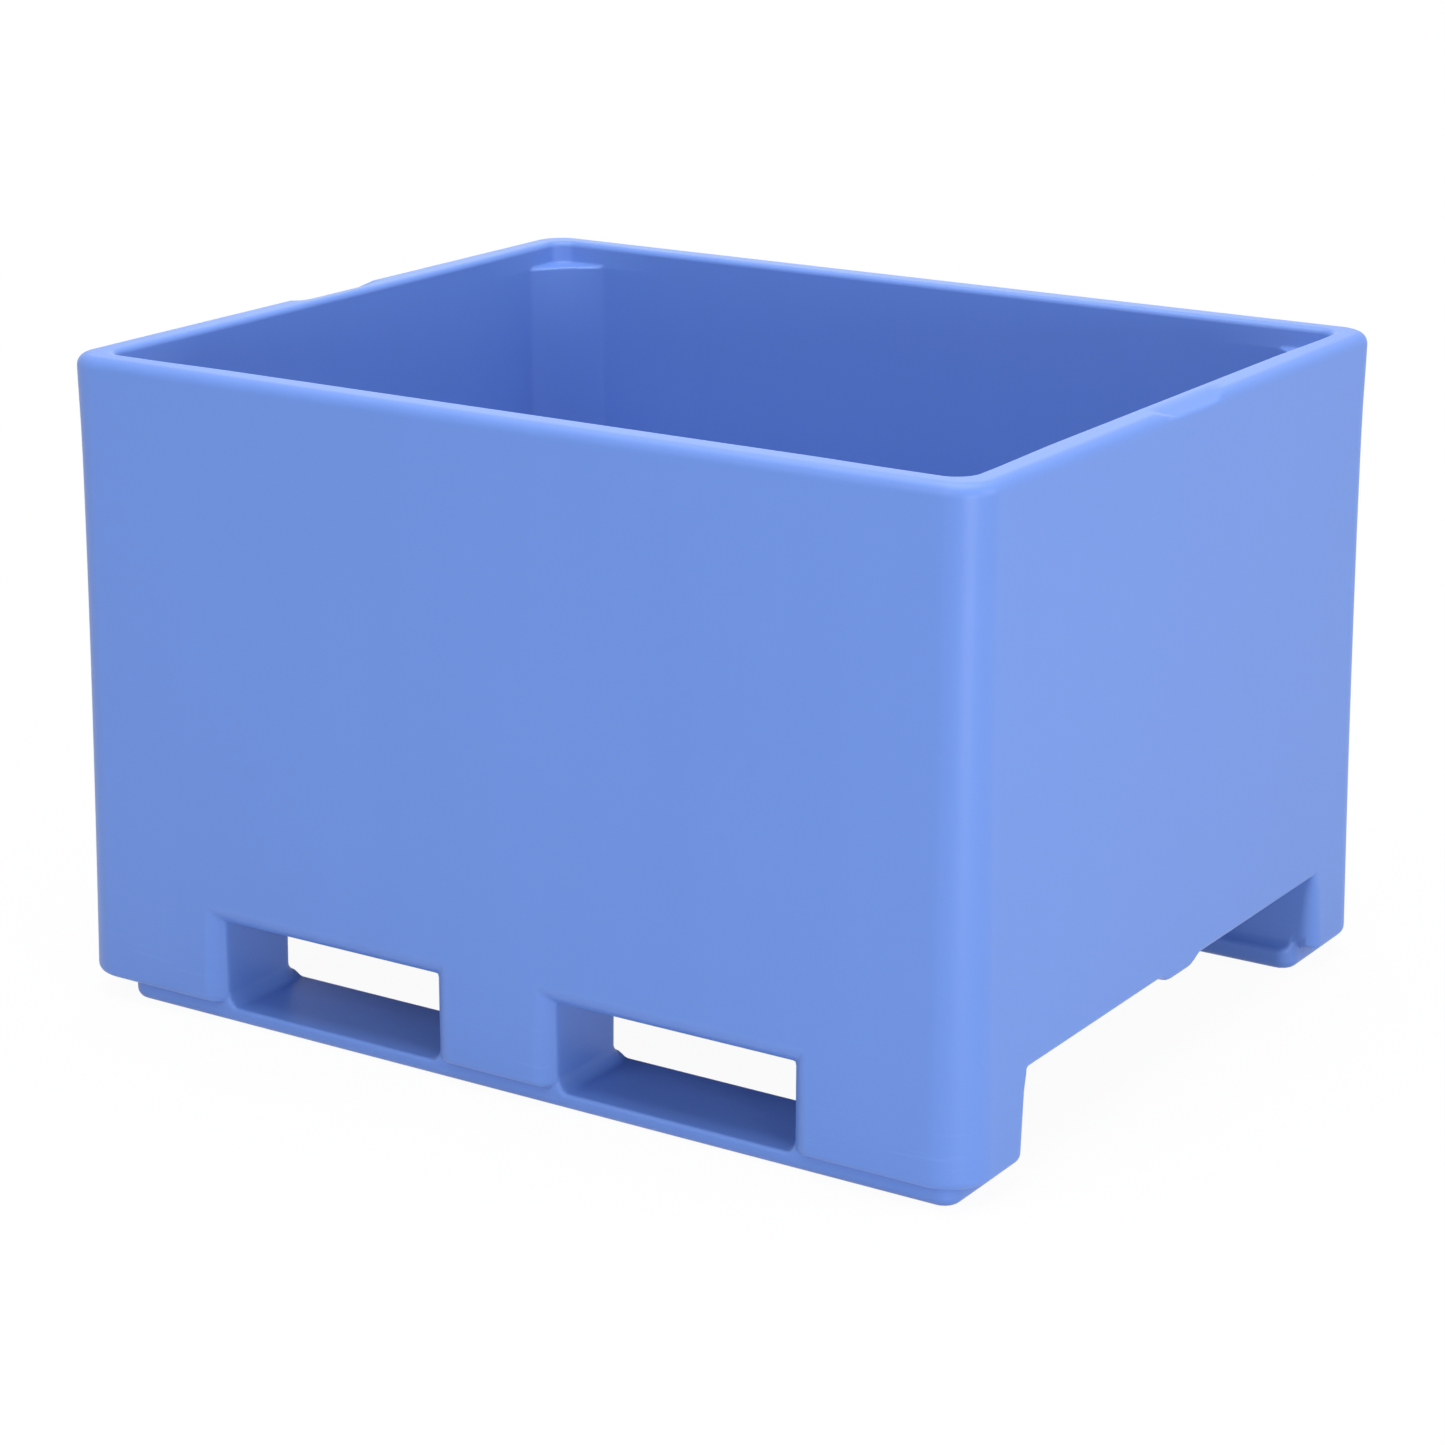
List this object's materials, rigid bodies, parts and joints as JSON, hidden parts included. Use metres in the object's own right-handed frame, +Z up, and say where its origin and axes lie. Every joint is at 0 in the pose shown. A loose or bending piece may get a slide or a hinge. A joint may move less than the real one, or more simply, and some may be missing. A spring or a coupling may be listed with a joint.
{
  "type": "insulated pallet box",
  "caption": "Thick-walled open-top moulded tub on its own fork base, with fork pockets in the long sides and wide arches in the short sides.",
  "frame": {"origin": "on the floor, under the middle of the box", "axes": "+X along the long sides, +Y through the fork pockets towards one long side, +Z up out of the open top"},
  "size_m": [1.2176, 0.9876, 0.775],
  "materials": {
    "moulded_shell": "satin"
  },
  "bodies": {
    "root": {"insulated_tub": "moulded_shell"}
  },
  "joints": []
}
